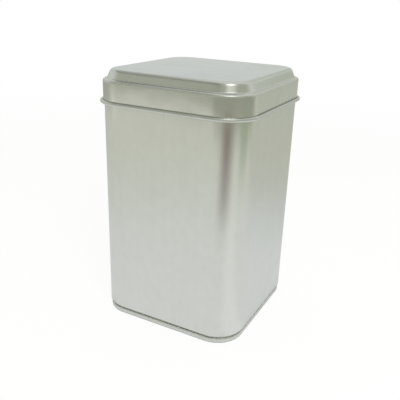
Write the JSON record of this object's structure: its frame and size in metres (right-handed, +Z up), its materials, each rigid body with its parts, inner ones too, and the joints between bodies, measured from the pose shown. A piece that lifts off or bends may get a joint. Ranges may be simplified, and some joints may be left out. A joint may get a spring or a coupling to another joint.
{
  "type": "square tin",
  "caption": "Tall square tinplate canister with round corners, a double-seamed recessed base and a slip-on lid with a raised top and a rolled bead, for keeping dry goods.",
  "frame": {"origin": "middle of the ring that the tin stands on", "axes": "+Z up the tin, -Y towards the front face, +X to the right of a viewer facing the front, side seam on the rear face at +Y"},
  "size_m": [0.079, 0.079, 0.1223],
  "materials": {
    "body_tinplate": "bare tinplate, satin with a fine vertical grain",
    "base_tinplate": "bare tinplate, satin, scuffed on the standing ring",
    "lid_tinplate": "bare tinplate, satin with a fine grain across the top"
  },
  "bodies": {
    "canister": {"body_wrap": "body_tinplate", "base_panel": "base_tinplate"},
    "lid": {"lid": "lid_tinplate"}
  },
  "joints": [
    {"name": "lid_lift", "type": "slide", "parent": "canister", "child": "lid", "axis": [0, 0, 1], "range_m": [0, 0.09]}
  ]
}
